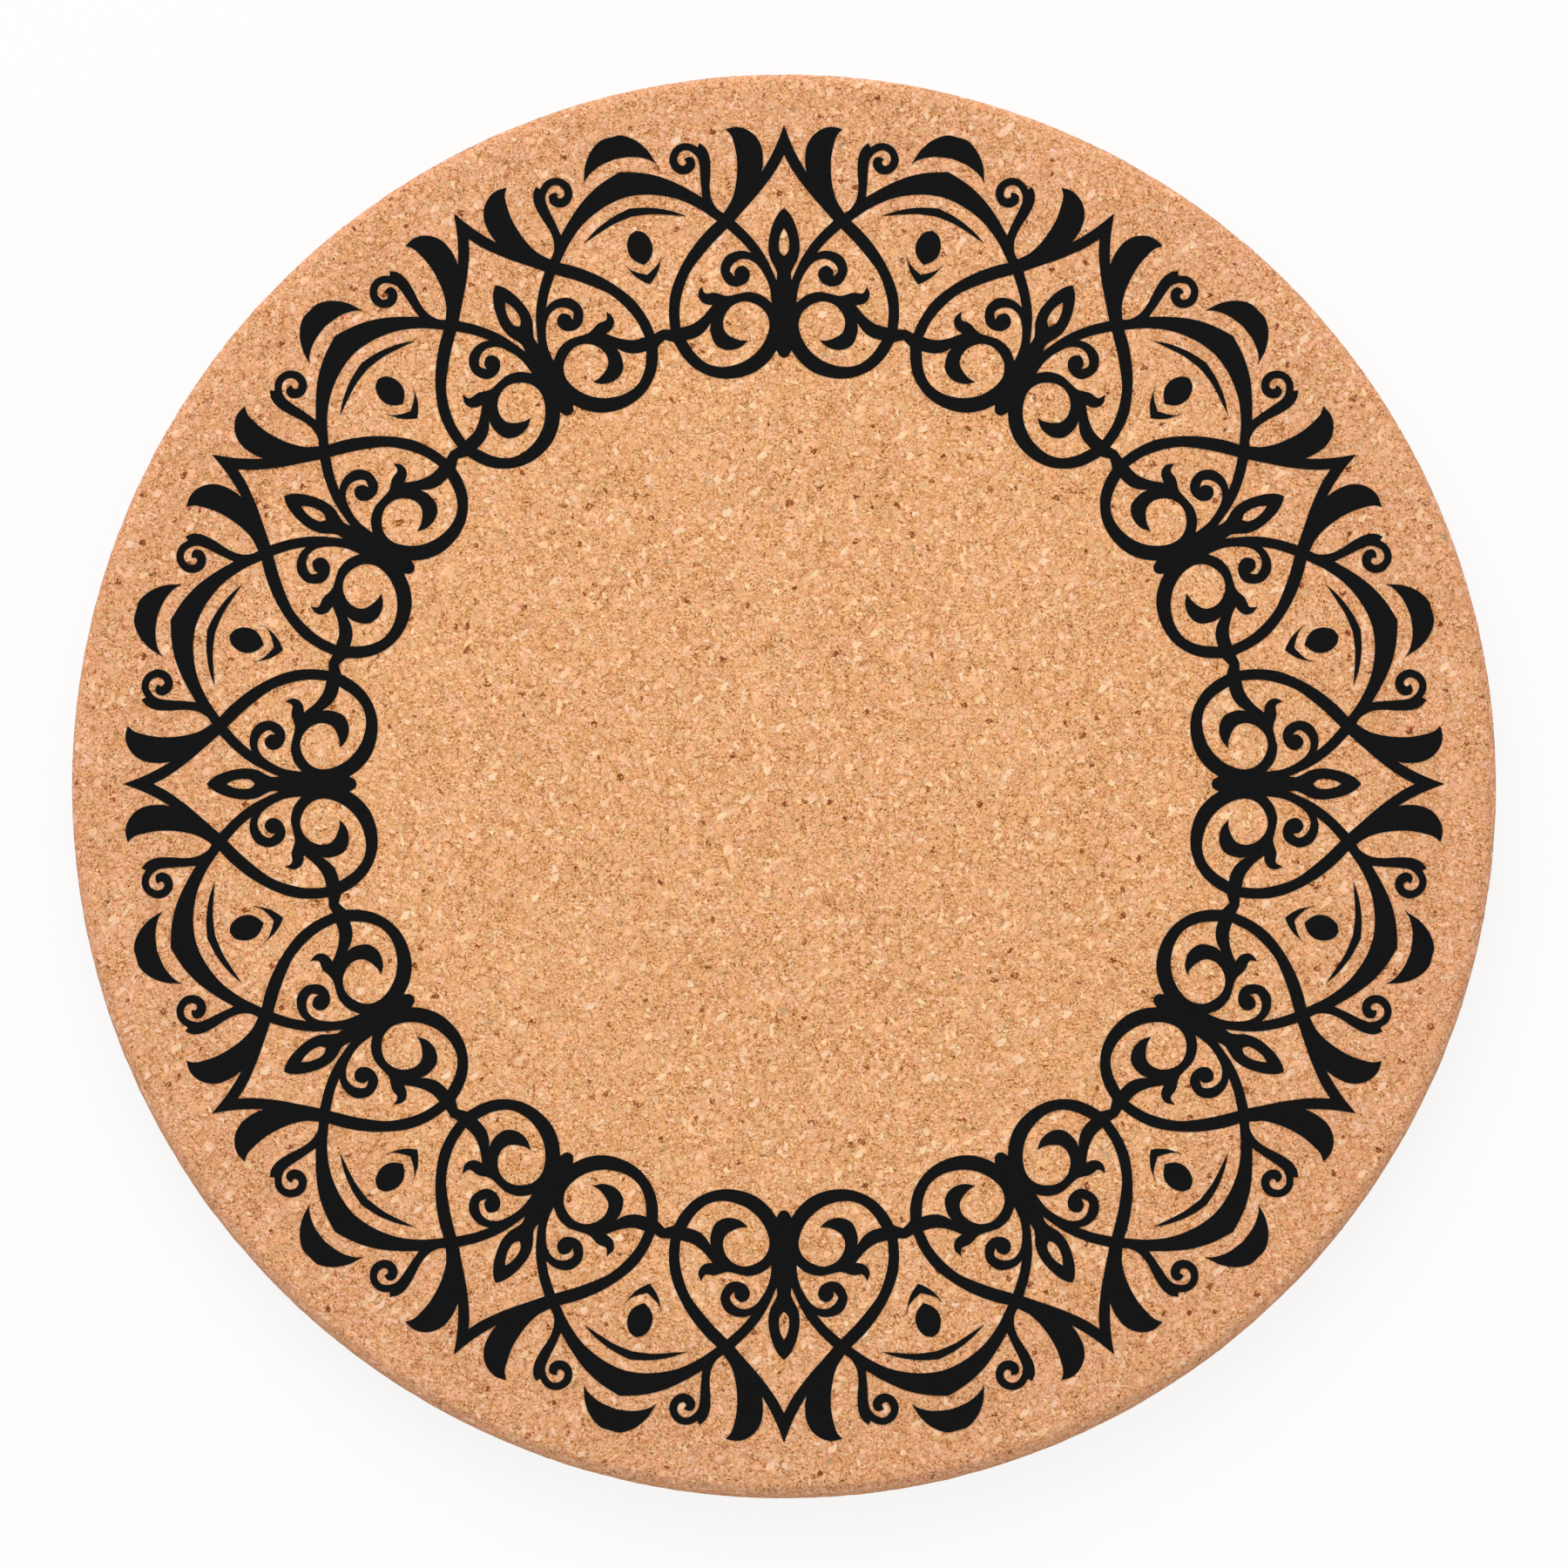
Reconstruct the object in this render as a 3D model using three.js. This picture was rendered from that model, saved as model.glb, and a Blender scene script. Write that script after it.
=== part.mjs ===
// A round cork coaster with a black ring of hearts and scrolls printed on its face.
// Millimetres, +Z up. The origin is the centre of the underside, and +Y points at one heart of the print.
import * as THREE from "three";

// Driving dimensions
const DISC_DIAMETER = 100;
const DISC_THICKNESS = 5;
const EDGE_ROUND = 0.6; // radius of the sanded edges, above and below
const BARE_RIM = 2.3; // bare cork from the rounded edge to the outermost ink
const BAND_WIDTH = 18.3; // the printed ring, from its outermost ink to its innermost
const SEAT_MARGIN = 1.5; // bare cork from the cup's seat to the innermost ink
const INK_THICKNESS = 0.1;
const REPEATS = 12; // hearts round the ring

// Fineness of the facets
const DISC_SIDES = 96;
const EDGE_STEPS = 2; // facets across a rounded edge
const CURVE_STEPS = 12; // points tried along each stretch of a curve
const CHORD_ERROR = 0.15; // widest gap left between a curve and its facets

// Colours and finish
const CORK_COLOUR = 0xe3a979;
const CORK_ROUGHNESS = 0.9;
const INK_COLOUR = 0x171717;
const INK_ROUGHNESS = 0.8;

// The drawing of half a repeat, in millimetres: Y runs out along a heart's axis, and X to its right.
// The other axis, between two hearts, lies half of DRAWN_STEP away. An outline is a list of stretches.
// Each stretch is a smooth curve through its points, and starts where the one before it ends, at a corner.
const DRAWN_STEP = Math.PI / 6; // angle between two hearts

// Outer edge of the lattice, from the tip of the heart to the axis between hearts
const OUTER_EDGE = [
  // flank of the heart, down to the leaf
  [[0, 46.37], [0.53, 45], [1.02, 44], [1.56, 43.07]],
  // leaf: its back up to the tip, then its belly down to the crossing
  [[1.47, 43.8], [1.6, 44.9], [2.05, 45.65], [2.75, 46.12], [3.4, 46.24], [4.1, 46.08]],
  [[3.72, 45.65], [3.5, 45], [3.31, 44], [3.3, 43], [3.42, 42], [3.72, 41], [4.25, 40.17]],
  // stem of the outer volute, up to its barb
  [[4.68, 40.47], [5.08, 41.15], [5.22, 42], [5.16, 43.2], [5.22, 44.1], [5.5, 44.75], [5.93, 45.11]],
  [[6.08, 44.81]],
  // outer volute: in along its outside, and back along its inside
  [
    [6.6, 45.07], [7.2, 45.06], [7.75, 44.72], [8.06, 43.98], [7.9, 43.38], [7.5, 43],
    [7, 42.89], [6.5, 43.1], [6.22, 43.6], [6.38, 44.05], [6.7, 44.13], [7.02, 43.98],
  ],
  [
    [6.87, 43.72], [7.05, 43.51], [7.35, 43.6], [7.5, 44], [7.3, 44.43], [6.87, 44.6],
    [6.4, 44.4], [6.05, 44], [5.92, 43.4], [5.84, 42.2], [5.75, 41.28],
  ],
  // top of the arc that bridges two hearts
  [[7, 42], [8.5, 42.66], [10, 43], [11.54, 43.07]],
];

// Inner edge of the lattice, from the foot of the stem to the axis between hearts
const INNER_EDGE = [
  [[0, 30], [0.3, 30.13], [0.52, 30.53]],
  // lobe of the heart
  [
    [1, 29.85], [1.9, 29.08], [3, 28.65], [4.2, 28.53],
    [5.3, 28.75], [6.4, 29.35], [7.2, 30.2], [7.72, 31.08],
  ],
  // underside of the tie between two hearts
  [[8.38, 31.27]],
];

// Window in the heart round its bud, half of it
const BUD_WINDOW = [
  [[0, 44.28], [0.5, 43.33], [1.5, 41.93], [2.5, 40.75], [3.48, 39.64]],
  [[2.5, 38.7], [1.75, 37.8], [1.25, 37.02], [0.8, 36.1], [0.52, 35.43]],
  [[0.5, 36], [0.98, 37], [1.1, 37.75], [1.03, 38.5], [0.75, 39.5], [0.36, 40.2], [0, 40.53]],
];

// Eye of the bud, half of it
const BUD_EYE = [[[0, 39.15], [0.22, 38.72], [0.36, 38], [0.28, 37.45], [0, 37.15]]];

// Window in the lobe of the heart, round the hook of the scroll
const LOBE_WINDOW = [
  // scroll and lobe, from the tip of the hook to the arm
  [
    [2.52, 31.21], [3, 31.22], [3.6, 31.42], [4.1, 31.78], [4.29, 32.45], [4.05, 33.2],
    [3.5, 33.75], [2.75, 33.97], [1.9, 33.72], [1.3, 33.2], [1.03, 32.4], [1.25, 31.4],
    [1.9, 30.42], [2.9, 29.7], [4.2, 29.36], [5.3, 29.55], [6.2, 30.25], [6.87, 31.23],
  ],
  // underside of the arm
  [[6.4, 31.35], [5.95, 31.55], [5.5, 31.94], [5.14, 32.48]],
  // outside of the hook
  [[5.18, 31.9], [4.8, 30.92], [4, 30.55], [3.1, 30.72], [2.52, 31.21]],
];

// Window in the flank of the heart, round the inner volute
const FLANK_WINDOW = [
  // inside of the heart, from the crossing to the arm
  [[4, 39.1], [5, 38.08], [6.05, 36.82], [6.62, 36], [7.1, 34.75], [7.34, 33.4], [7.27, 32.13]],
  // top of the arm
  [[6.5, 32.33], [5.7, 32.9], [5.02, 33.71]],
  // horn at the end of the scroll, then the top of the scroll
  [[5.5, 33.77], [5.88, 34.05], [6.02, 34.48], [5.83, 35.02]],
  [[5.55, 34.55], [4.85, 34.58], [4, 34.35], [3.2, 34.51], [2.5, 34.63], [1.6, 34.42], [0.87, 33.87]],
  // inner volute: in along its inside, and back along its outside
  [[1.03, 35], [1.48, 36], [2.1, 36.73], [2.8, 36.97], [3.45, 36.72], [3.8, 36.15], [3.48, 35.71]],
  [
    [3.45, 36.12], [3, 36.48], [2.55, 36.27], [2.39, 35.85], [2.65, 35.3], [3.35, 35.01],
    [4, 35.23], [4.46, 36.15], [4.15, 37.05], [3.5, 37.45], [2.85, 37.53], [2.3, 37.39],
  ],
  // back up to the crossing
  [[3, 38.2], [4, 39.1]],
];

// Window between two hearts, half of it
const BRIDGE_WINDOW = [
  [[11.07, 41.31], [10.2, 41.45], [9, 41.45], [7.5, 41.17], [6, 40.5], [4.7, 39.63]],
  [[5.5, 38.87], [6.57, 37.54], [7.44, 36], [7.97, 34.5], [8.08, 33], [7.98, 31.99]],
  [[8.57, 31.98]],
];

// Loose motifs on the axis between two hearts, half of each, from their outer point to their inner one
const LOOSE_MOTIFS = {
  print_crescent: [
    [[12.19, 45.49], [11.5, 45.64], [10.5, 45.33], [9.6, 44.6], [8.95, 43.6]],
    [[9.4, 43.9], [10.5, 44.13], [11.79, 44]],
  ],
  print_brow: [
    [[10.85, 40.5], [9.5, 40.56], [8, 40.35], [6.85, 39.97]],
    [[8, 40.05], [9.3, 40.1], [10.7, 39.93]],
  ],
  print_drop: [[[10.43, 38.93], [9.87, 38.82], [9.34, 38.2], [9.22, 37.5], [9.42, 36.97], [9.79, 36.53]]],
  print_chevron: [
    [[9.6, 35.83], [9.1, 36.3], [8.75, 36.75], [8.58, 37.25]],
    [[8.8, 36.2], [9.1, 35.6], [9.42, 35.17]],
  ],
};

// Places that follow from the sizes
const discRadius = DISC_DIAMETER / 2;
const printRadius = discRadius - EDGE_ROUND - BARE_RIM;
const seatRadius = printRadius - BAND_WIDTH - SEAT_MARGIN;
const step = (2 * Math.PI) / REPEATS;
const drawnRadii = [OUTER_EDGE, INNER_EDGE, ...Object.values(LOOSE_MOTIFS)]
  .flat(2)
  .map(([x, y]) => Math.hypot(x, y));
const drawnOuter = Math.max(...drawnRadii);
const drawnBand = drawnOuter - Math.min(...drawnRadii);

// A point of the drawing, on the printed ring
function onRing({ x, y }) {
  const angle = (Math.atan2(x, y) * step) / DRAWN_STEP;
  const depth = ((drawnOuter - Math.hypot(x, y)) * BAND_WIDTH) / drawnBand;
  const radius = printRadius - depth;
  return new THREE.Vector3(radius * Math.sin(angle), radius * Math.cos(angle), 0);
}

// The fewest of the points that keep within CHORD_ERROR of the line through them all
function thinned(points) {
  const chord = new THREE.Line3(points[0], points.at(-1));
  const foot = new THREE.Vector3();
  const gaps = points.map((point) => chord.closestPointToPoint(point, true, foot).distanceTo(point));
  const widest = gaps.indexOf(Math.max(...gaps));
  if (gaps[widest] <= CHORD_ERROR) return [chord.start, chord.end];
  return [...thinned(points.slice(0, widest + 1)), ...thinned(points.slice(widest)).slice(1)];
}

// An outline of the drawing as points on the ring, from its first corner to its last
function traced(outline) {
  let corner = outline[0][0];
  const points = [];
  for (const stretch of outline) {
    const controls = stretch[0] === corner ? stretch : [corner, ...stretch];
    const curve = new THREE.CatmullRomCurve3(controls.map(([x, y]) => new THREE.Vector3(x, y, 0)));
    const fine = curve.getPoints(CURVE_STEPS * (controls.length - 1)).map(onRing);
    points.push(...thinned(fine).slice(points.length ? 1 : 0));
    corner = controls.at(-1);
  }
  return points;
}

// The points mirrored in the axis at this angle from +Y, and in reverse order
function mirrored(points, axis) {
  const along = new THREE.Vector3(Math.sin(axis), Math.cos(axis), 0);
  const reflected = points.map((point) => along.clone().multiplyScalar(2 * point.dot(along)).sub(point));
  return reflected.reverse();
}

// A closed outline from its half, which starts and ends on the axis
function symmetric(half, axis) {
  return [...half, ...mirrored(half.slice(1, -1), axis)];
}

// The points turned clockwise by this many repeats
function turned(points, repeats) {
  const axis = new THREE.Vector3(0, 0, 1);
  return points.map((point) => point.clone().applyAxisAngle(axis, -repeats * step));
}

// The points of one repeat, copied round the whole ring
function around(points) {
  return Array.from({ length: REPEATS }, (_, repeat) => turned(points, repeat));
}

// A film of ink of this shape, lying on the face of the disc
function film(name, shape) {
  const geometry = new THREE.ExtrudeGeometry(shape, { depth: INK_THICKNESS, bevelEnabled: false });
  const finish = { color: INK_COLOUR, roughness: INK_ROUGHNESS, metalness: 0 };
  const mesh = new THREE.Mesh(geometry, new THREE.MeshStandardMaterial(finish));
  mesh.name = name;
  mesh.position.z = DISC_THICKNESS;
  return mesh;
}

// The disc of pressed cork granules, with its edges rounded by sanding
function corkDisc() {
  const profile = [new THREE.Vector2(0, 0)];
  const edges = [
    [EDGE_ROUND, -Math.PI / 2],
    [DISC_THICKNESS - EDGE_ROUND, 0],
  ];
  for (const [height, from] of edges) {
    for (let i = 0; i <= EDGE_STEPS; i++) {
      const angle = from + ((Math.PI / 2) * i) / EDGE_STEPS;
      const reach = discRadius - EDGE_ROUND + EDGE_ROUND * Math.cos(angle);
      profile.push(new THREE.Vector2(reach, height + EDGE_ROUND * Math.sin(angle)));
    }
  }
  // the seat for a cup is the flat face inside the print
  profile.push(new THREE.Vector2(seatRadius, DISC_THICKNESS));
  profile.push(new THREE.Vector2(0, DISC_THICKNESS));
  const geometry = new THREE.LatheGeometry(profile, DISC_SIDES);
  const finish = { color: CORK_COLOUR, roughness: CORK_ROUGHNESS, metalness: 0 };
  const mesh = new THREE.Mesh(geometry, new THREE.MeshStandardMaterial(finish));
  mesh.name = "cork_disc";
  mesh.rotation.x = Math.PI / 2;
  return mesh;
}

// The part of the print that hangs together: hearts, scrolls, leaves and volutes, with windows of bare cork
function printLattice() {
  const rim = around(symmetric(traced(OUTER_EDGE), step / 2)).flat();
  const shape = new THREE.Shape(rim.reverse()); // a shape's outline runs anticlockwise
  const bare = around(symmetric(traced(INNER_EDGE), step / 2)).flat();
  const oneHeart = [
    symmetric(traced(BUD_WINDOW), 0),
    symmetric(traced(BUD_EYE), 0),
    symmetric(traced(BRIDGE_WINDOW), step / 2),
  ];
  for (const window of [LOBE_WINDOW, FLANK_WINDOW]) {
    const closed = traced(window).slice(1);
    oneHeart.push(closed, mirrored(closed, 0));
  }
  const windows = oneHeart.flatMap(around);
  shape.holes = [bare, ...windows].map((points) => new THREE.Path(points));
  return film("print_lattice", shape);
}

const coaster = new THREE.Group();
coaster.add(corkDisc(), printLattice());
for (let repeat = 0; repeat < REPEATS; repeat++) {
  const place = new THREE.Group();
  place.rotation.z = -repeat * step;
  const number = String(repeat + 1).padStart(2, "0");
  for (const [name, half] of Object.entries(LOOSE_MOTIFS)) {
    const shape = new THREE.Shape(symmetric(traced(half), step / 2));
    place.add(film(`${name}_${number}`, shape));
  }
  coaster.add(place);
}

export default coaster;
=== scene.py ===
"""The looks of a round cork coaster with a black ring of hearts and scrolls printed on its face.

Every length is in metres unless its name or comment says millimetres.
+Z is up, and the photograph's top is +Y.
"""

import math

import bmesh
import bpy
import numpy as np
from mathutils import Matrix, Vector, noise


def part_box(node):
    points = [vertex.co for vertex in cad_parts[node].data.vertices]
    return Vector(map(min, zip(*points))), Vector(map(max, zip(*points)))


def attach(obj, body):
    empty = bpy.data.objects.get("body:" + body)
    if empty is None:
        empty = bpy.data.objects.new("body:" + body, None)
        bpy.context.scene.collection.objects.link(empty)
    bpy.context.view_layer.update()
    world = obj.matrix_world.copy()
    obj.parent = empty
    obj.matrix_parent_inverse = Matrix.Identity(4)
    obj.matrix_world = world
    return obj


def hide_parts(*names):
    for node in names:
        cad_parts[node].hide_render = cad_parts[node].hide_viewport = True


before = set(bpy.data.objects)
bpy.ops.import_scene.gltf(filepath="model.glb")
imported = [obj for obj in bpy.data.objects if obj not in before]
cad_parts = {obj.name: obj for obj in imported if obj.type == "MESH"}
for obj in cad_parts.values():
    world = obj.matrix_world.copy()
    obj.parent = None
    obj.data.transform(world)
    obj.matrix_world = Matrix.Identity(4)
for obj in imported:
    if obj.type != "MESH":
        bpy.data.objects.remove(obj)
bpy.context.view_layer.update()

MM = 0.001

# The camera, as the photograph was taken
PICTURE_SIDE = 1800  # pixels
PIXELS_PER_MM = 16.35
CAMERA_TILT = math.radians(4.0)  # towards the lower edge, whose wall just shows
CAMERA_DISTANCE = 1.0
PRINT_CENTRE_ROW = 899.9  # pixels from the top

# The floor and the light
FLOOR_REACH = 8.0
FLOOR_COLOUR = (0.9, 0.9, 0.9, 1.0)
FLOOR_GLOW = 0.86  # share of plain white in what the camera sees of the floor, over its shadow
LAMP_PLACE = (-0.13, 0.53, 0.62)  # beyond the top of the picture
LAMP_SIZE = 0.7
LAMP_POWER = 4.15  # watts
SURROUND_LIGHT = 0.62

# The cork mesh
FACE_STEPS = 176  # quads across a face
EDGE_STEPS = 6  # quads across a rounded edge
EDGE_POWER = 1.35  # shape of that edge: 1 is a straight chamfer, and 2 a round
WALL_STEPS = 9
LUMP_SIZE = 0.95 * MM  # of the granules that stand out as relief
CLOUD_LUMPS = 2.5  # size of the clouds of higher and lower lumps, in lumps
CLOUD_SWAY = 0.4  # share of the relief by which they raise or lower a lump
CLOUD_FRACTAL = (1.0, 2.0, 2)  # roughness, lacunarity and octaves
FACE_RELIEF = 0.025 * MM
EDGE_RELIEF = 0.06 * MM
FLAT_WITHIN = 0.001 * MM  # of the highest point, for a corner on the flat face

# The ink
INK_TOP = 0.05 * MM  # above the face of the cork
INK_ROOT = 0.06 * MM  # below the face of the cork, so that no light shows under the film
CURVE_STEPS = 12  # points tried along each stretch between two points of the drawing
CHORD_ERROR_MM = 0.006
WELD_MM = 0.0001  # corners nearer than this are one
INK_GRAIN_MM = 0.25

# Noise, with the layers of finer noise that each kind has on top of its coarsest
PLAIN_NOISE = 0.0
SOFT_NOISE = 1.0
RAGGED_NOISE = 2.0
CLOUDY_NOISE = 3.0
NOISE_MIDDLE = 0.5
NOISE_RANGE = (0.3, 0.7)  # that it mostly keeps to

# Pressed cork, with sizes in millimetres
RAGGED_SIZE = 0.2  # of the waves in a granule's outline
RAGGED_REACH = 0.1
GRANULE_SIZE = 0.5
FIBRE_SIZE = 0.142
FIBRE_STRETCH = 2.0
GRAIN_SIZE = 0.105
TINT_SIZE = 0.15
DRIFT_SIZE = 4.0  # of the clouds of paler and darker cork
FLAKE_SIZES = {15: 0.22, 75: 0.28, 135: 0.37}  # by the way that they lie, in degrees
FLAKE_STRETCH = 1.8
FLAKE_EDGE = (0.76, 0.6)  # shares of a flake's cell, between which it fades in
SPECK_SIZE = 0.36
PIT_SIZE = 0.34
PIT_STRETCH = 1.7  # up the wall, the way that the blade went
DULL_SPAN = (0.64, 0.94)  # of the disc's radius, between which the face gets duller towards the rim

# Tones of the cork, where 0 is the darkest, as in dark specks and the painted shade of pits, and 1 the
# palest flake
MIDDLE_TONE = 0.51
FIBRE_TONE = 1.55  # how far each of these four sways it
GRAIN_TONE = 0.82
GRANULE_TONE = 0.13
DRIFT_TONE = 0.16
GAP_SHADE_TONE = 0.12  # painted shade in the gaps where granules meet
CHIP_TONE = 0.11  # chips, which are granules with a smoother face
CHIP_GRAIN = 0.42  # share of the fine grain that shows on a chip
CHIP_SHADOW_TONE = 0.25  # painted shadow: a dark band round a chip
CHIP_SHADOW_WIDTH = 0.17  # in granules
GAP_RADII = (0.6, 0.9)  # from the middle of a granule, in granules
FLAKE_TONES = (0.6, 0.97)
FLAKE_POWER = 1.6  # above 1, more flakes are dull than pale
FLAKE_COVERS = (0.35, 0.9)  # how much a flake hides of what lies under it, from dull to pale
FLAKE_GRAIN = 0.25
SPECK_TONES = (0.6, 0.3)  # across the fibres

# The wall, where the disc was cut out of its sheet
CUT_SLOPE = (0.55, 0.15)  # upward slope of the surface, from a rounded edge's to the wall's
CUT_GRAIN = 1.6  # times the fine grain of a face
# Pits in the cut wall are painted dark: painted shade of their hollows
PIT_SHADE_TONE = 0.42
PIT_SHADE_RANGE = (0.42, 0.28)  # of its noise, from no pit to its full depth

# Shares of the granules, flakes and specks that are of a kind
CHIP_SHARE = 0.52
FLAKE_SHARE = 0.085
SPECK_SHARE = 0.0085
GREY_SHARE = 0.0015

# Linear colours
# the darkest tone: dark specks, and the painted shade of pits
CORK_SPECK_AND_PIT_SHADE = (0.215, 0.050, 0.008)
CORK_BROWN = (0.556, 0.223, 0.068)
CORK_BODY = (0.757, 0.378, 0.168)
CORK_PALE = (0.932, 0.520, 0.266)
CORK_LIGHT = (0.990, 0.705, 0.455)
CORK_TONES = (CORK_SPECK_AND_PIT_SHADE, CORK_BROWN, CORK_BODY, CORK_PALE, CORK_LIGHT)  # evenly spaced from tone 0 to 1
CORK_GREY = (0.400, 0.270, 0.140)
GREY_COVER = 0.55
INK_DARK = (0.0037, 0.0037, 0.0037)
INK_PALE = (0.0057, 0.0057, 0.0057)
WHITE = (1.0, 1.0, 1.0)

# What the colour of the cork is multiplied by
GOLDEN, ROSY = (1.037, 1.0, 0.935), (0.963, 1.0, 1.065)
GREENISH, PINKISH = (0.985, 1.032, 0.985), (1.015, 0.968, 1.015)
RIM_DULL = (0.94, 0.915, 0.965)
# The cut wall browner and darker: partly the colour of cut cork, partly painted shade
CUT_BROWN_AND_SHADE = (1.0, 0.93, 0.87)
# Painted shade: the rounded edges a little darker and warmer
EDGE_PAINTED_SHADE = (1.0, 0.95, 0.93)
GRAIN_TINT = 0.11  # how far each fine grain sways its own colour

# Finish
CORK_ROUGHNESS = 0.9
RUBBED_ROUGHNESS = 0.35  # of the rounded edges, which wear smooth
ROUNDED_FROM_WALL = (0.2, 0.5)  # upward slope of the surface, from the wall's to a rounded edge's
ROUNDED_FROM_FACE = (0.98, 0.85)  # and from the face's to a rounded edge's
CORK_GLOSS = 0.35
CORK_BUMP = 0.06 * MM
CORK_BUMP_STRENGTH = 0.35
INK_ROUGHNESS = (0.8, 0.95)
INK_GLOSS = 0.08
INK_BUMP = 0.03 * MM
INK_BUMP_STRENGTH = 0.15

# The drawing of half a repeat, in millimetres: Y runs out along a heart's axis, and X to its right.
# The other axis, between two hearts, lies half of DRAWN_STEP away. An outline is a list of stretches.
# Each stretch is a smooth curve through its points, and starts where the one before it ends, at a corner.
DRAWN_STEP = math.radians(30)

# Outer edge of the lattice, from the tip of the heart to the axis between hearts
OUTER_EDGE = [
    # flank of the heart, down to the leaf
    [(0, 46.37), (0.53, 45), (1.02, 44), (1.56, 43.07)],
    # leaf: its back up to the tip, then its belly down to the crossing
    [(1.47, 43.8), (1.6, 44.9), (2.05, 45.65), (2.75, 46.12), (3.4, 46.24), (4.1, 46.08)],
    [(3.72, 45.65), (3.5, 45), (3.31, 44), (3.3, 43), (3.42, 42), (3.72, 41), (4.25, 40.17)],
    # stem of the outer volute, up to its barb
    [(4.68, 40.47), (5.08, 41.15), (5.22, 42), (5.16, 43.2), (5.22, 44.1), (5.5, 44.75), (5.93, 45.11)],
    [(6.08, 44.81)],
    # outer volute: in along its outside, and back along its inside
    [
        (6.6, 45.07), (7.2, 45.06), (7.75, 44.72), (8.06, 43.98), (7.9, 43.38), (7.5, 43),
        (7, 42.89), (6.5, 43.1), (6.22, 43.6), (6.38, 44.05), (6.7, 44.13), (7.02, 43.98),
    ],
    [
        (6.87, 43.72), (7.05, 43.51), (7.35, 43.6), (7.5, 44), (7.3, 44.43), (6.87, 44.6),
        (6.4, 44.4), (6.05, 44), (5.92, 43.4), (5.84, 42.2), (5.75, 41.28),
    ],
    # top of the arc that bridges two hearts
    [(7, 42), (8.5, 42.66), (10, 43), (11.54, 43.07)],
]

# Inner edge of the lattice, from the foot of the stem to the axis between hearts
INNER_EDGE = [
    [(0, 30), (0.3, 30.13), (0.52, 30.53)],
    # lobe of the heart
    [
        (1, 29.85), (1.9, 29.08), (3, 28.65), (4.2, 28.53),
        (5.3, 28.75), (6.4, 29.35), (7.2, 30.2), (7.72, 31.08),
    ],
    # underside of the tie between two hearts
    [(8.38, 31.27)],
]

# Window in the heart round its bud, half of it
BUD_WINDOW = [
    [(0, 44.28), (0.5, 43.33), (1.5, 41.93), (2.5, 40.75), (3.48, 39.64)],
    [(2.5, 38.7), (1.75, 37.8), (1.25, 37.02), (0.8, 36.1), (0.52, 35.43)],
    [(0.5, 36), (0.98, 37), (1.1, 37.75), (1.03, 38.5), (0.75, 39.5), (0.36, 40.2), (0, 40.53)],
]

# Eye of the bud, half of it
BUD_EYE = [[(0, 39.15), (0.22, 38.72), (0.36, 38), (0.28, 37.45), (0, 37.15)]]

# Window in the lobe of the heart, round the hook of the scroll
LOBE_WINDOW = [
    # scroll and lobe, from the tip of the hook to the arm
    [
        (2.52, 31.21), (3, 31.22), (3.6, 31.42), (4.1, 31.78), (4.29, 32.45), (4.05, 33.2),
        (3.5, 33.75), (2.75, 33.97), (1.9, 33.72), (1.3, 33.2), (1.03, 32.4), (1.25, 31.4),
        (1.9, 30.42), (2.9, 29.7), (4.2, 29.36), (5.3, 29.55), (6.2, 30.25), (6.87, 31.23),
    ],
    # underside of the arm
    [(6.4, 31.35), (5.95, 31.55), (5.5, 31.94), (5.14, 32.48)],
    # outside of the hook
    [(5.18, 31.9), (4.8, 30.92), (4, 30.55), (3.1, 30.72), (2.52, 31.21)],
]

# Window in the flank of the heart, round the inner volute
FLANK_WINDOW = [
    # inside of the heart, from the crossing to the arm
    [(4, 39.1), (5, 38.08), (6.05, 36.82), (6.62, 36), (7.1, 34.75), (7.34, 33.4), (7.27, 32.13)],
    # top of the arm
    [(6.5, 32.33), (5.7, 32.9), (5.02, 33.71)],
    # horn at the end of the scroll, then the top of the scroll
    [(5.5, 33.77), (5.88, 34.05), (6.02, 34.48), (5.83, 35.02)],
    [(5.55, 34.55), (4.85, 34.58), (4, 34.35), (3.2, 34.51), (2.5, 34.63), (1.6, 34.42), (0.87, 33.87)],
    # inner volute: in along its inside, and back along its outside
    [(1.03, 35), (1.48, 36), (2.1, 36.73), (2.8, 36.97), (3.45, 36.72), (3.8, 36.15), (3.48, 35.71)],
    [
        (3.45, 36.12), (3, 36.48), (2.55, 36.27), (2.39, 35.85), (2.65, 35.3), (3.35, 35.01),
        (4, 35.23), (4.46, 36.15), (4.15, 37.05), (3.5, 37.45), (2.85, 37.53), (2.3, 37.39),
    ],
    # back up to the crossing
    [(3, 38.2), (4, 39.1)],
]

# Window between two hearts, half of it
BRIDGE_WINDOW = [
    [(11.07, 41.31), (10.2, 41.45), (9, 41.45), (7.5, 41.17), (6, 40.5), (4.7, 39.63)],
    [(5.5, 38.87), (6.57, 37.54), (7.44, 36), (7.97, 34.5), (8.08, 33), (7.98, 31.99)],
    [(8.57, 31.98)],
]

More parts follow.
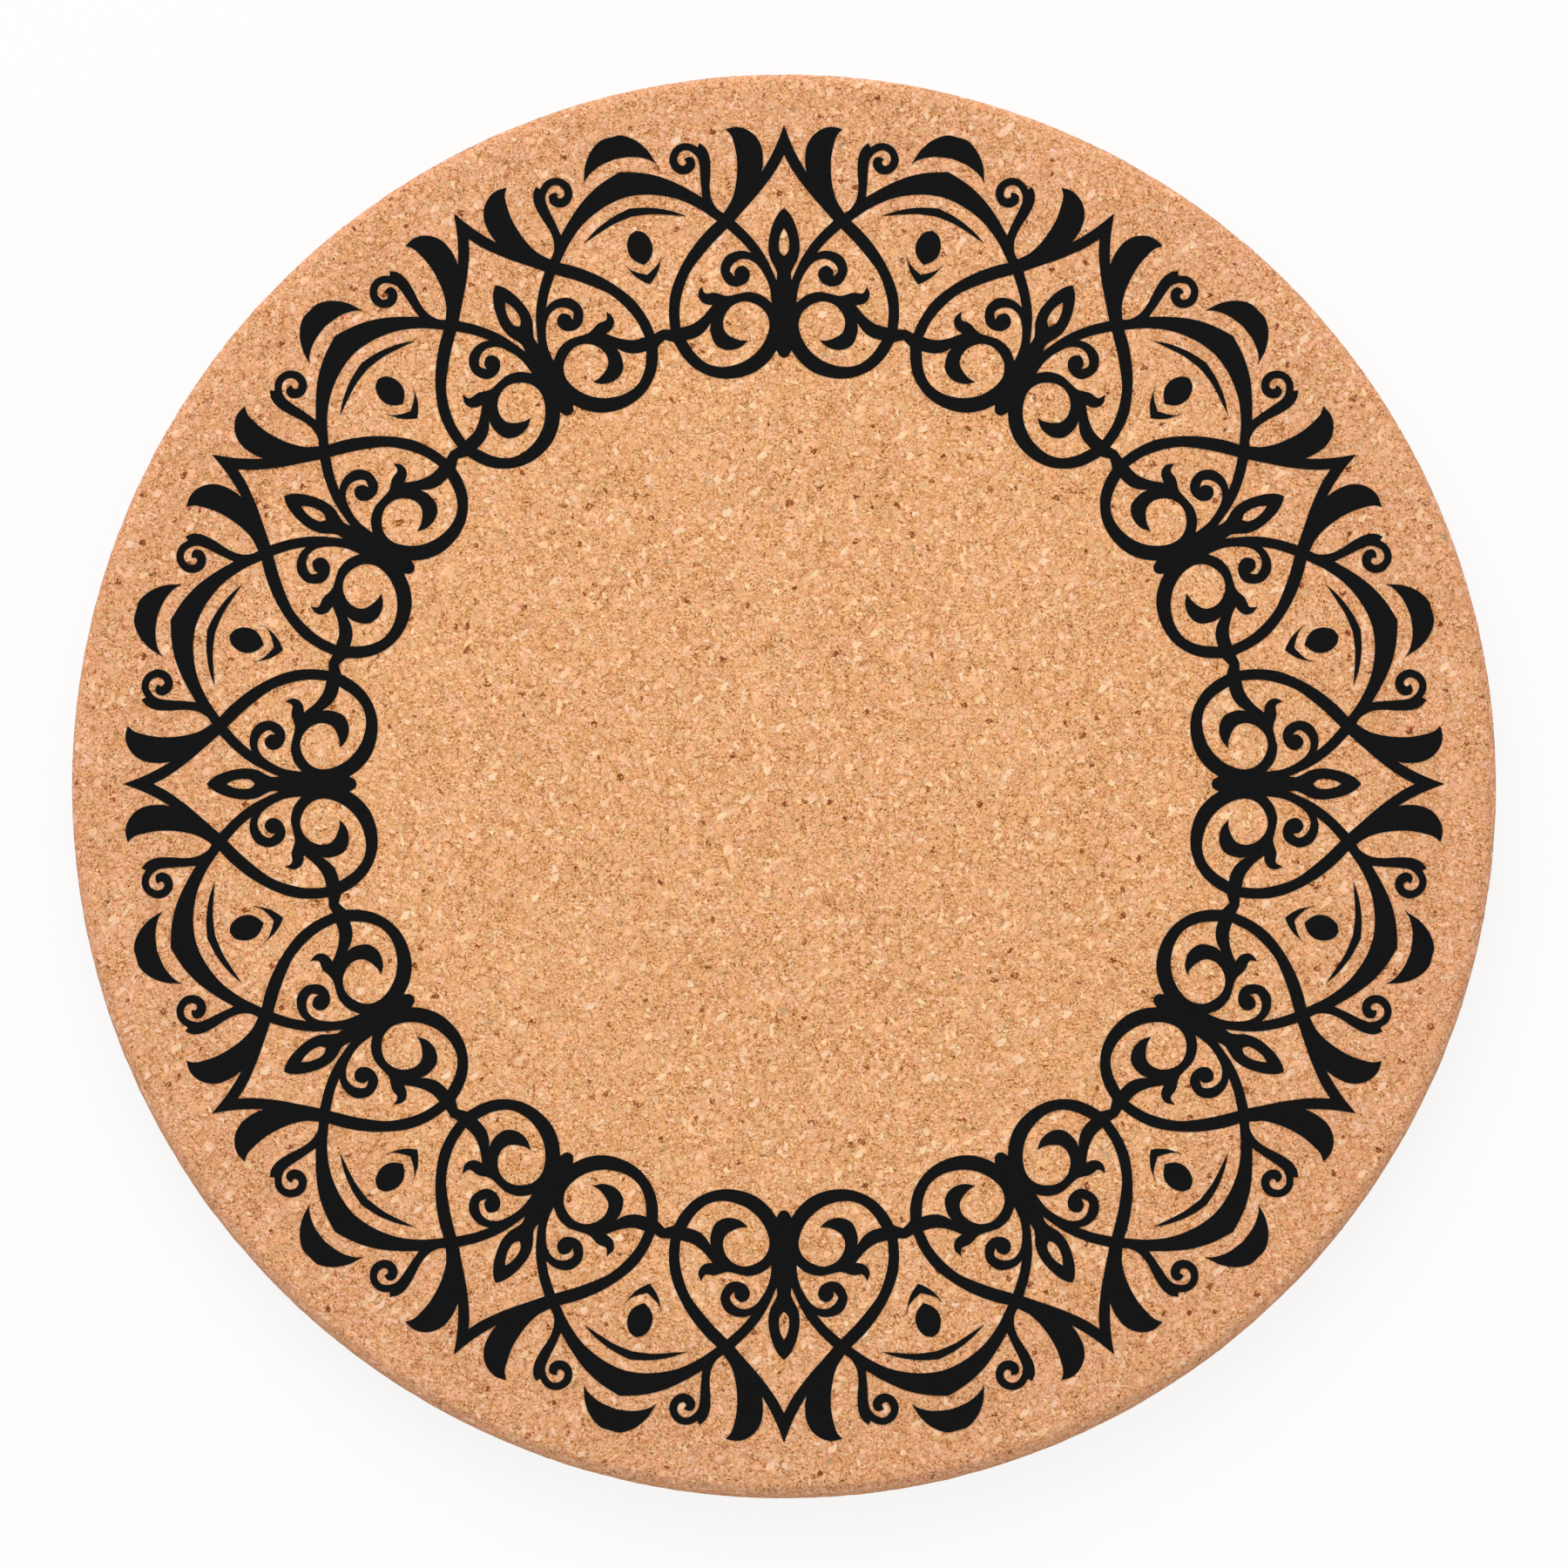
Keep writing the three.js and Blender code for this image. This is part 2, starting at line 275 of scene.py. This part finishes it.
# Loose motifs on the axis between two hearts, half of each, from their outer point to their inner one
LOOSE_MOTIFS = {
    "crescent": [
        [(12.19, 45.49), (11.5, 45.64), (10.5, 45.33), (9.6, 44.6), (8.95, 43.6)],
        [(9.4, 43.9), (10.5, 44.13), (11.79, 44)],
    ],
    "brow": [
        [(10.85, 40.5), (9.5, 40.56), (8, 40.35), (6.85, 39.97)],
        [(8, 40.05), (9.3, 40.1), (10.7, 39.93)],
    ],
    "drop": [[(10.43, 38.93), (9.87, 38.82), (9.34, 38.2), (9.22, 37.5), (9.42, 36.97), (9.79, 36.53)]],
    "chevron": [
        [(9.6, 35.83), (9.1, 36.3), (8.75, 36.75), (8.58, 37.25)],
        [(8.8, 36.2), (9.1, 35.6), (9.42, 35.17)],
    ],
}


def node_points(name):
    """The corners of a CAD node, one a row."""
    return np.array([vertex.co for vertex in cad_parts[name].data.vertices])


def radii(points):
    """How far each point lies from the axis of the disc."""
    return np.hypot(points[..., 0], points[..., 1])


# Sizes taken from the frame
disc_low, disc_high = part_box("cork_disc")
disc_radius = (disc_high.x - disc_low.x) / 2
face_height = disc_high.z
disc_points = node_points("cork_disc")
on_face = disc_points[:, 2] > face_height - FLAT_WITHIN
flat_radius = radii(disc_points[on_face]).max()
edge_round = disc_radius - flat_radius

# The printed ring: the crescents' outer points and the chevrons' inner ones are corners of the drawing
repeats = sum(name.startswith("print_crescent_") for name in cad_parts)
step = 2 * math.pi / repeats
ring_outer = radii(node_points("print_crescent_01")).max() / MM
ring_inner = radii(node_points("print_chevron_01")).min() / MM


class Shader:
    """The nodes of a material, or of the world, under construction."""

    # Sockets of a mix node, which has its own for numbers and for colours
    MIX_SHARE = 0
    MIX_NUMBERS = (2, 3)
    MIX_COLOURS = (6, 7)
    MIXED_NUMBER = 0
    MIXED_COLOUR = 2

    def __init__(self, owner):
        self.owner = owner
        owner.use_nodes = True
        self.tree = owner.node_tree
        self.tree.nodes.clear()

    def node(self, kind, inputs=None, **settings):
        """Adds a node. An input is a number, a colour or vector, or another node's output socket."""
        made = self.tree.nodes.new(kind)
        for name, value in settings.items():
            setattr(made, name, value)
        for name, value in (inputs or {}).items():
            if isinstance(value, bpy.types.NodeSocket):
                self.tree.links.new(value, made.inputs[name])
            else:
                made.inputs[name].default_value = value
        return made

    def math(self, operation, first, second=0.0, third=0.0):
        """The result of an operation on numbers."""
        node = self.node("ShaderNodeMath", {0: first, 1: second, 2: third}, operation=operation)
        return node.outputs[0]

    def vector(self, operation, first, second=(0.0, 0.0, 0.0), **inputs):
        """The result of an operation on vectors or colours."""
        node = self.node("ShaderNodeVectorMath", {0: first, 1: second, **inputs}, operation=operation)
        return node.outputs[0]

    def ramp(self, value, low, high, to_low=0.0, to_high=1.0):
        """The value, eased from one range to another and clamped to it."""
        inputs = {"Value": value, "From Min": low, "From Max": high, "To Min": to_low, "To Max": to_high}
        node = self.node("ShaderNodeMapRange", inputs, interpolation_type="SMOOTHSTEP")
        return node.outputs["Result"]

    def between(self, share, first, second):
        """The number that lies this share of the way from the first to the second."""
        inputs = {self.MIX_SHARE: share, **dict(zip(self.MIX_NUMBERS, (first, second)))}
        return self.node("ShaderNodeMix", inputs, data_type="FLOAT").outputs[self.MIXED_NUMBER]

    def mix(self, share, first, second):
        """The colour that lies this share of the way from the first to the second."""
        inputs = {self.MIX_SHARE: share}
        for socket, colour in zip(self.MIX_COLOURS, (first, second)):
            inputs[socket] = (*colour, 1) if isinstance(colour, tuple) else colour
        return self.node("ShaderNodeMix", inputs, data_type="RGBA").outputs[self.MIXED_COLOUR]

    def millimetres(self):
        """The place on the piece, in millimetres."""
        place = self.node("ShaderNodeTexCoord").outputs["Object"]
        return self.vector("SCALE", place, Scale=1 / MM)

    def swayed(self, value, part, weight):
        """The value, raised or lowered by how far a random part lies from its middle."""
        return self.math("MULTIPLY_ADD", self.math("SUBTRACT", part, NOISE_MIDDLE), weight, value)

    def noise(self, place, size, layers):
        """Noise with features of this size in millimetres, as a number and as a colour."""
        inputs = {"Vector": place, "Scale": 1 / size, "Detail": layers}
        outputs = self.node("ShaderNodeTexNoise", inputs).outputs
        return outputs["Fac"], outputs["Color"]

    def cells(self, place, size):
        """Cells of this size in millimetres: the distance from each middle, and three random numbers."""
        node = self.node("ShaderNodeTexVoronoi", {"Vector": place, "Scale": 1 / size})
        parts = self.node("ShaderNodeSeparateColor", {"Color": node.outputs["Color"]})
        return node.outputs["Distance"], *parts.outputs[:3]

    def warped(self, place, size, reach):
        """The place, pushed about by noise so that granules get ragged outlines."""
        _, cloud = self.noise(place, size, RAGGED_NOISE)
        push = self.vector("SUBTRACT", cloud, (NOISE_MIDDLE,) * 3)
        return self.vector("ADD", place, self.vector("SCALE", push, Scale=reach))

    def bumped(self, height, strength, distance):
        """The normal of a surface that this height makes uneven."""
        inputs = {"Height": height, "Strength": strength, "Distance": distance}
        return self.node("ShaderNodeBump", inputs).outputs["Normal"]

    def background_rays(self):
        """1 where the camera looks, straight or by way of a reflection or glass, and 0 for plain light."""
        path = self.node("ShaderNodeLightPath").outputs
        seen = self.math("MAXIMUM", path["Is Camera Ray"], path["Is Glossy Ray"])
        return self.math("MAXIMUM", seen, path["Is Transmission Ray"])

    def surface(self, shader):
        """Ends the nodes with what the surface does to light."""
        self.node("ShaderNodeOutputMaterial", {"Surface": shader})
        return self.owner


def granules_of(s, ragged):
    """The granules: three random numbers for each, the distances from its middle and rim, and its turn."""
    inputs = {"Vector": ragged, "Scale": 1 / GRANULE_SIZE}
    cells = s.node("ShaderNodeTexVoronoi", inputs).outputs
    rim = s.node("ShaderNodeTexVoronoi", inputs, feature="DISTANCE_TO_EDGE").outputs["Distance"]
    chance = s.node("ShaderNodeSeparateColor", {"Color": cells["Color"]}).outputs
    turn = s.vector("SCALE", cells["Color"], Scale=2 * math.pi)
    return chance, cells["Distance"], rim, turn


def flakes_over(s, tone, fine, ragged):
    """The tone, with pale flakes over it that are longer than wide and lie three ways."""
    for turn, size in FLAKE_SIZES.items():
        inputs = {"Vector": ragged, "Angle": math.radians(turn)}
        laid = s.node("ShaderNodeVectorRotate", inputs, rotation_type="Z_AXIS").outputs[0]
        squeezed = s.vector("MULTIPLY", laid, (1 / FLAKE_STRETCH, 1.0, 1.0))
        from_middle, pick, paleness, _ = s.cells(squeezed, size)
        face = s.between(s.math("POWER", paleness, FLAKE_POWER), *FLAKE_TONES)
        face = s.math("MULTIPLY_ADD", fine, FLAKE_GRAIN, face)
        shape = s.ramp(from_middle, *FLAKE_EDGE)
        cover = s.math("MULTIPLY", s.ramp(paleness, 0.0, 1.0, *FLAKE_COVERS), shape)
        cover = s.math("MULTIPLY", cover, s.math("LESS_THAN", pick, FLAKE_SHARE))
        tone = s.between(cover, tone, face)
    return tone


def cork_tone(s, place, cut):
    """How pale the cork is at each place, with the random numbers that its colour needs."""
    ragged = s.warped(place, RAGGED_SIZE, RAGGED_REACH)
    chance, from_middle, from_rim, turn = granules_of(s, ragged)

    # Fibres, which lie another way in each granule, and a finer grain
    inputs = {"Vector": ragged, "Rotation": turn}
    laid = s.node("ShaderNodeVectorRotate", inputs, rotation_type="EULER_XYZ").outputs[0]
    squeezed = s.vector("MULTIPLY", laid, (1.0, 1.0, 1 / FIBRE_STRETCH))
    fibre, _ = s.noise(squeezed, FIBRE_SIZE, SOFT_NOISE)
    grain, _ = s.noise(place, GRAIN_SIZE, PLAIN_NOISE)
    fine = s.swayed(s.swayed(0.0, fibre, FIBRE_TONE), grain, GRAIN_TONE)
    fine = s.math("MULTIPLY", fine, s.between(cut, 1.0, CUT_GRAIN))

    # Chips show less of these and get a dark band of painted shadow round them, the gaps between granules
    # get painted shade, and the cut wall gets pits, painted dark as shade in their hollows
    chip = s.ramp(chance[1], 1 - CHIP_SHARE, 1.0)
    tone = s.math("MULTIPLY_ADD", fine, s.ramp(chip, 0.0, 1.0, 1.0, CHIP_GRAIN), MIDDLE_TONE)
    chip_shadow = s.math("MULTIPLY", chip, s.ramp(from_rim, CHIP_SHADOW_WIDTH, 0.0))
    gap_shade = s.ramp(from_middle, *GAP_RADII)
    drawn = s.vector("MULTIPLY", ragged, (1.0, 1.0, 1 / PIT_STRETCH))
    hollow, _ = s.noise(drawn, PIT_SIZE, SOFT_NOISE)
    pit_shade = s.math("MULTIPLY", cut, s.ramp(hollow, *PIT_SHADE_RANGE))
    for part, weight in ((chip, CHIP_TONE), (chip_shadow, -CHIP_SHADOW_TONE), (gap_shade, -GAP_SHADE_TONE), (pit_shade, -PIT_SHADE_TONE)):
        tone = s.math("MULTIPLY_ADD", part, weight, tone)
    drift, _ = s.noise(place, DRIFT_SIZE, CLOUDY_NOISE)
    tone = s.swayed(s.swayed(tone, chance[0], GRANULE_TONE), drift, DRIFT_TONE)
    tone = flakes_over(s, tone, fine, ragged)

    # A few dark specks, and grey grains of bark
    _, kind, _, _ = s.cells(ragged, SPECK_SIZE)
    depth = s.ramp(fibre, *NOISE_RANGE, *SPECK_TONES)
    speck = s.math("MULTIPLY", s.math("LESS_THAN", kind, SPECK_SHARE), depth)
    grey = s.math("GREATER_THAN", kind, 1 - GREY_SHARE)
    return s.math("SUBTRACT", tone, speck), chance, grey


def cork_colour(s, place, tone, chance, grey, cut, rounded_edge):
    """The colour of each tone, tinted by granule and grain and by the nearness of the rim, with the cut
    wall browner (partly its own colour, partly painted shade) and painted shade on the rounded edges.
    """
    ramp = s.node("ShaderNodeValToRGB", {"Fac": tone})
    elements = ramp.color_ramp.elements
    for position in np.linspace(0, 1, len(CORK_TONES))[1:-1]:
        elements.new(position)
    for element, colour in zip(elements, CORK_TONES):
        element.color = (*colour, 1)
    colour = s.mix(s.math("MULTIPLY", grey, GREY_COVER), ramp.outputs["Color"], CORK_GREY)
    _, grain = s.noise(place, TINT_SIZE, PLAIN_NOISE)
    flat = s.vector("MULTIPLY", place, (1.0, 1.0, 0.0))
    radius = s.node("ShaderNodeVectorMath", {0: flat}, operation="LENGTH").outputs["Value"]
    dull_radii = [share * disc_radius / MM for share in DULL_SPAN]
    shades = [
        s.mix(chance[2], GOLDEN, ROSY),
        s.mix(chance[0], GREENISH, PINKISH),
        s.mix(s.ramp(radius, *dull_radii), WHITE, RIM_DULL),
        s.mix(GRAIN_TINT, WHITE, s.vector("SCALE", grain, Scale=1 / NOISE_MIDDLE)),
        # painted shade on the cut wall, partly its own browner colour, and on the rounded edges
        s.mix(cut, WHITE, CUT_BROWN_AND_SHADE),
        s.mix(rounded_edge, WHITE, EDGE_PAINTED_SHADE),
    ]
    for shade in shades:
        colour = s.vector("MULTIPLY", colour, shade)
    return colour


def cork_material():
    """Pressed cork: granules of fine fibres that lie every way, chips, pale flakes and dark specks."""
    s = Shader(bpy.data.materials.new("cork"))
    place = s.millimetres()
    normal = s.node("ShaderNodeSeparateXYZ", {0: s.node("ShaderNodeTexCoord").outputs["Normal"]})
    upright = s.math("ABSOLUTE", normal.outputs["Z"])
    cut = s.ramp(upright, *CUT_SLOPE)
    rounded_edge = s.math("MULTIPLY", s.ramp(upright, *ROUNDED_FROM_WALL), s.ramp(upright, *ROUNDED_FROM_FACE))
    tone, chance, grey = cork_tone(s, place, cut)
    inputs = {
        "Base Color": cork_colour(s, place, tone, chance, grey, cut, rounded_edge),
        "Roughness": s.ramp(rounded_edge, 0.0, 1.0, CORK_ROUGHNESS, RUBBED_ROUGHNESS),
        "Specular IOR Level": CORK_GLOSS,
        "Normal": s.bumped(tone, CORK_BUMP_STRENGTH, CORK_BUMP),
    }
    return s.surface(s.node("ShaderNodeBsdfPrincipled", inputs).outputs[0])


def ink_material():
    """Matt black ink, a little uneven over the grain of the cork."""
    s = Shader(bpy.data.materials.new("ink"))
    cloud, _ = s.noise(s.millimetres(), INK_GRAIN_MM, CLOUDY_NOISE)
    inputs = {
        "Base Color": s.mix(cloud, INK_DARK, INK_PALE),
        "Roughness": s.ramp(cloud, *NOISE_RANGE, *INK_ROUGHNESS),
        "Specular IOR Level": INK_GLOSS,
        "Normal": s.bumped(cloud, INK_BUMP_STRENGTH, INK_BUMP),
    }
    return s.surface(s.node("ShaderNodeBsdfPrincipled", inputs).outputs[0])


def add_object(name, data):
    """An object with this data, put in the scene."""
    made = bpy.data.objects.new(name, data)
    bpy.context.scene.collection.objects.link(made)
    return made


def add_piece(name, mesh, material, node):
    """A piece of the coaster that stands for this CAD node."""
    mesh.materials.append(material)
    piece = add_object(name, mesh)
    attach(piece, "root")
    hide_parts(node)


def face_grid():
    """A square grid of points laid evenly over a disc of radius 1, as rows of (x, y)."""
    ticks = np.linspace(-1, 1, FACE_STEPS + 1)
    u, v = np.meshgrid(ticks, ticks, indexing="ij")
    steep = abs(v) > abs(u)
    reach = np.where(steep, v, u)
    across = np.where(steep, u, v)
    turn = math.pi / 4 * np.divide(across, reach, out=np.zeros_like(u), where=reach != 0)
    angle = np.where(steep, math.pi / 2 - turn, turn)
    return np.stack((reach * np.cos(angle), reach * np.sin(angle)), axis=-1).reshape(-1, 2)


def edge_profile():
    """(radius, height) of each ring from the rim of the face down to the rim of the underside."""
    arcs = np.linspace(math.pi / 2, 0, EDGE_STEPS + 1)
    radius = flat_radius + edge_round * abs(np.cos(arcs)) ** (2 / EDGE_POWER)
    height = face_height - edge_round + edge_round * np.sin(arcs) ** (2 / EDGE_POWER)
    wall = np.linspace(face_height - edge_round, edge_round, WALL_STEPS + 1)[1:-1]
    upper = np.column_stack((radius, height))
    middle = np.column_stack((np.full(len(wall), disc_radius), wall))
    lower = np.column_stack((radius[::-1], face_height - height[::-1]))
    return np.concatenate((upper, middle, lower))


def band(above, below):
    """The quads between two rings of corners, given by their numbers."""
    return np.column_stack((above, below, np.roll(below, -1), np.roll(above, -1)))


def cork_mesh():
    """The disc as one closed mesh of even quads."""
    grid = face_grid()
    side = FACE_STEPS + 1
    index = np.arange(side * side).reshape(side, side)
    corners = (index[:-1, :-1], index[1:, :-1], index[1:, 1:], index[:-1, 1:])
    top_quads = np.stack(corners, axis=-1).reshape(-1, 4)
    rim = np.concatenate((index[-1, :-1], index[:0:-1, -1], index[0, :0:-1], index[:-1, 0]))
    flat = grid * flat_radius
    vertices = [np.column_stack((flat, np.full(len(flat), height))) for height in (face_height, 0)]
    quads = [top_quads, top_quads[:, ::-1] + len(flat)]
    rings = [rim]
    count = 2 * len(flat)
    for radius, height in edge_profile()[1:-1]:
        vertices.append(np.column_stack((grid[rim] * radius, np.full(len(rim), height))))
        rings.append(np.arange(count, count + len(rim)))
        count += len(rim)
    rings.append(rim + len(flat))
    quads += [band(above, below) for above, below in zip(rings, rings[1:])]
    mesh = bpy.data.meshes.new("cork_body")
    mesh.from_pydata(np.concatenate(vertices), [], np.concatenate(quads).tolist())
    mesh.validate()
    return mesh


def roughen(mesh):
    """Sinks the cork round the middle of each lump, more on the cut edge than on the sanded faces."""
    normals = [vertex.normal.copy() for vertex in mesh.vertices]
    for vertex, normal in zip(mesh.vertices, normals):
        place = vertex.co / LUMP_SIZE
        distances, _ = noise.voronoi(place)
        cloud = noise.fractal(place / CLOUD_LUMPS, *CLOUD_FRACTAL)
        reach = FACE_RELIEF + (EDGE_RELIEF - FACE_RELIEF) * (1 - abs(normal.z))
        vertex.co += normal * reach * min(CLOUD_SWAY * cloud - distances[0], 0)


def smooth_curve(points):
    """Points along the smooth curve through these, CURVE_STEPS to a stretch."""
    points = np.array(points, float)
    padded = np.vstack((2 * points[0] - points[1], points, 2 * points[-1] - points[-2]))
    knots = np.sqrt(np.linalg.norm(np.diff(padded, axis=0), axis=1))
    share = np.linspace(0, 1, CURVE_STEPS, endpoint=False)[:, None]
    curve = []
    for i in range(1, len(padded) - 2):
        before, start, end, after = padded[i - 1:i + 3]
        t0, t1, t2 = knots[i - 1:i + 2]
        leaving = t1 * ((start - before) / t0 - (end - before) / (t0 + t1) + (end - start) / t1)
        arriving = t1 * ((end - start) / t1 - (after - start) / (t1 + t2) + (after - end) / t2)
        square = 3 * (end - start) - 2 * leaving - arriving
        cube = 2 * (start - end) + leaving + arriving
        curve.append(start + share * (leaving + share * (square + share * cube)))
    return np.vstack((*curve, points[-1:]))


def thinned(points):
    """The fewest of the points that keep within CHORD_ERROR_MM of the line through them all."""
    start, end = points[0], points[-1]
    along = end - start
    share = np.clip((points - start) @ along / (along @ along), 0, 1)
    gaps = np.linalg.norm(points - start - share[:, None] * along, axis=1)
    widest = int(gaps.argmax())
    if gaps[widest] <= CHORD_ERROR_MM:
        return points[[0, -1]]
    return np.vstack((thinned(points[:widest + 1]), thinned(points[widest:])[1:]))


def traced(outline):
    """An outline of the drawing as points, from its first corner to its last."""
    corner = outline[0][0]
    runs = []
    for stretch in outline:
        controls = stretch if stretch[0] == corner else [corner, *stretch]
        points = thinned(smooth_curve(controls))
        runs.append(points[1:] if runs else points)
        corner = controls[-1]
    return np.vstack(runs)


def mirrored(points, axis):
    """The points mirrored in the axis at this angle from +Y, and in reverse order."""
    along = np.array((math.sin(axis), math.cos(axis)))
    return (2 * np.outer(points @ along, along) - points)[::-1]


def symmetric(half, axis):
    """A closed outline from its half, which starts and ends on the axis."""
    return np.vstack((half, mirrored(half[1:-1], axis)))


def turned(points, repeat):
    """The points turned clockwise by this many repeats."""
    turn = repeat * step
    across = (math.cos(turn), -math.sin(turn))
    along = (math.sin(turn), math.cos(turn))
    return points @ np.array((across, along))


def on_ring(points):
    """Points of the drawing, bent and stretched to fit the printed ring."""
    ends = (LOOSE_MOTIFS["crescent"][0][0], LOOSE_MOTIFS["chevron"][-1][-1])
    drawn_outer, drawn_inner = radii(np.array(ends))
    stretch = (ring_outer - ring_inner) / (drawn_outer - drawn_inner)
    radius = ring_outer - (drawn_outer - radii(points)) * stretch
    angle = np.arctan2(points[:, 0], points[:, 1]) * step / DRAWN_STEP
    return np.column_stack((radius * np.sin(angle), radius * np.cos(angle)))


def around(points):
    """The points of one repeat of the drawing, copied round the whole ring."""
    return [turned(on_ring(points), repeat) for repeat in range(repeats)]


def film_mesh(name, outlines):
    """A film of ink inside the first outline and outside the others."""
    curve = bpy.data.curves.new(name, "CURVE")
    curve.dimensions = "2D"
    curve.fill_mode = "BOTH"
    curve.extrude = (INK_TOP + INK_ROOT) / 2 / MM
    for outline in outlines:
        spline = curve.splines.new("POLY")
        spline.points.add(len(outline) - 1)
        padded = np.column_stack((outline, np.zeros((len(outline), 2))))
        spline.points.foreach_set("co", padded.ravel())
        spline.use_cyclic_u = True
    drawn = add_object(name, curve)
    graph = bpy.context.evaluated_depsgraph_get()
    mesh = bpy.data.meshes.new_from_object(drawn.evaluated_get(graph))
    bpy.data.objects.remove(drawn)
    bpy.data.curves.remove(curve)
    build = bmesh.new()
    build.from_mesh(mesh)
    bmesh.ops.remove_doubles(build, verts=build.verts, dist=WELD_MM)
    bmesh.ops.recalc_face_normals(build, faces=build.faces)
    build.to_mesh(mesh)
    build.free()
    middle = face_height + (INK_TOP - INK_ROOT) / 2
    mesh.transform(Matrix.Translation((0, 0, middle)) @ Matrix.Scale(MM, 4))
    mesh.materials.clear()
    return mesh


def lattice_outlines():
    """The outer edge of the lattice, then its windows of bare cork."""
    half = DRAWN_STEP / 2
    rim = np.vstack(around(symmetric(traced(OUTER_EDGE), half)))
    bare = np.vstack(around(symmetric(traced(INNER_EDGE), half)))
    windows = [symmetric(traced(window), 0) for window in (BUD_WINDOW, BUD_EYE)]
    windows.append(symmetric(traced(BRIDGE_WINDOW), half))
    for window in (LOBE_WINDOW, FLANK_WINDOW):
        closed = traced(window)[1:]
        windows += [closed, mirrored(closed, 0)]
    return [rim, bare, *(copy for window in windows for copy in around(window))]


def add_print():
    """All the ink: the lattice, and the loose motifs between its hearts."""
    ink = ink_material()
    add_piece("ink_lattice", film_mesh("ink_lattice", lattice_outlines()), ink, "print_lattice")
    for motif, half in LOOSE_MOTIFS.items():
        for repeat, outline in enumerate(around(symmetric(traced(half), DRAWN_STEP / 2))):
            label = f"{motif}_{repeat + 1:02d}"
            mesh = film_mesh(f"ink_{label}", [outline])
            add_piece(f"ink_{label}", mesh, ink, f"print_{label}")


def add_cork():
    """The disc of pressed cork."""
    mesh = cork_mesh()
    roughen(mesh)
    mesh.shade_smooth()
    add_piece("cork_body", mesh, cork_material(), "cork_disc")


def add_floor():
    """A white floor that looks white to the camera and keeps a soft shadow of the coaster."""
    mesh = bpy.data.meshes.new("floor")
    corners = [(x * FLOOR_REACH, y * FLOOR_REACH, 0) for x, y in ((-1, -1), (1, -1), (1, 1), (-1, 1))]
    mesh.from_pydata(corners, [], [(0, 1, 2, 3)])
    s = Shader(bpy.data.materials.new("floor"))
    diffuse = s.node("ShaderNodeBsdfDiffuse", {"Color": FLOOR_COLOUR}).outputs[0]
    glow = s.node("ShaderNodeEmission", {"Color": (*WHITE, 1), "Strength": 1.0}).outputs[0]
    inputs = {0: s.math("MULTIPLY", s.background_rays(), FLOOR_GLOW), 1: diffuse, 2: glow}
    mesh.materials.append(s.surface(s.node("ShaderNodeMixShader", inputs).outputs[0]))
    add_object("floor", mesh)


def add_lights():
    """A large soft lamp beyond the top of the picture, and an even white surround."""
    lamp = bpy.data.lights.new("key", "AREA")
    lamp.shape = "DISK"
    lamp.size = LAMP_SIZE
    lamp.energy = LAMP_POWER
    key = add_object("key", lamp)
    key.location = LAMP_PLACE
    key.rotation_euler = (-key.location).to_track_quat("-Z", "Y").to_euler()
    key.visible_camera = False
    s = Shader(bpy.data.worlds.new("surround"))
    inputs = {"Color": (*WHITE, 1), "Strength": s.between(s.background_rays(), SURROUND_LIGHT, 1.0)}
    background = s.node("ShaderNodeBackground", inputs).outputs[0]
    s.node("ShaderNodeOutputWorld", {"Surface": background})
    bpy.context.scene.world = s.owner


def add_camera():
    """Looks straight down, but for a slight tilt that shows the wall at the lower edge."""
    lens = bpy.data.cameras.new("camera")
    lens.type = "ORTHO"
    lens.ortho_scale = PICTURE_SIDE / PIXELS_PER_MM * MM
    camera = add_object("camera", lens)
    back = Vector((0, -math.sin(CAMERA_TILT), math.cos(CAMERA_TILT)))
    upwards = Vector((0, math.cos(CAMERA_TILT), math.sin(CAMERA_TILT)))
    lower_by = (PRINT_CENTRE_ROW - PICTURE_SIDE / 2) / PIXELS_PER_MM * MM
    aim = Vector((0, 0, face_height)) + upwards * lower_by
    camera.location = aim + back * CAMERA_DISTANCE
    camera.rotation_euler = (CAMERA_TILT, 0, 0)
    bpy.context.scene.camera = camera


add_cork()
add_print()
add_floor()
add_lights()
add_camera()
bpy.context.scene.view_settings.view_transform = "Standard"
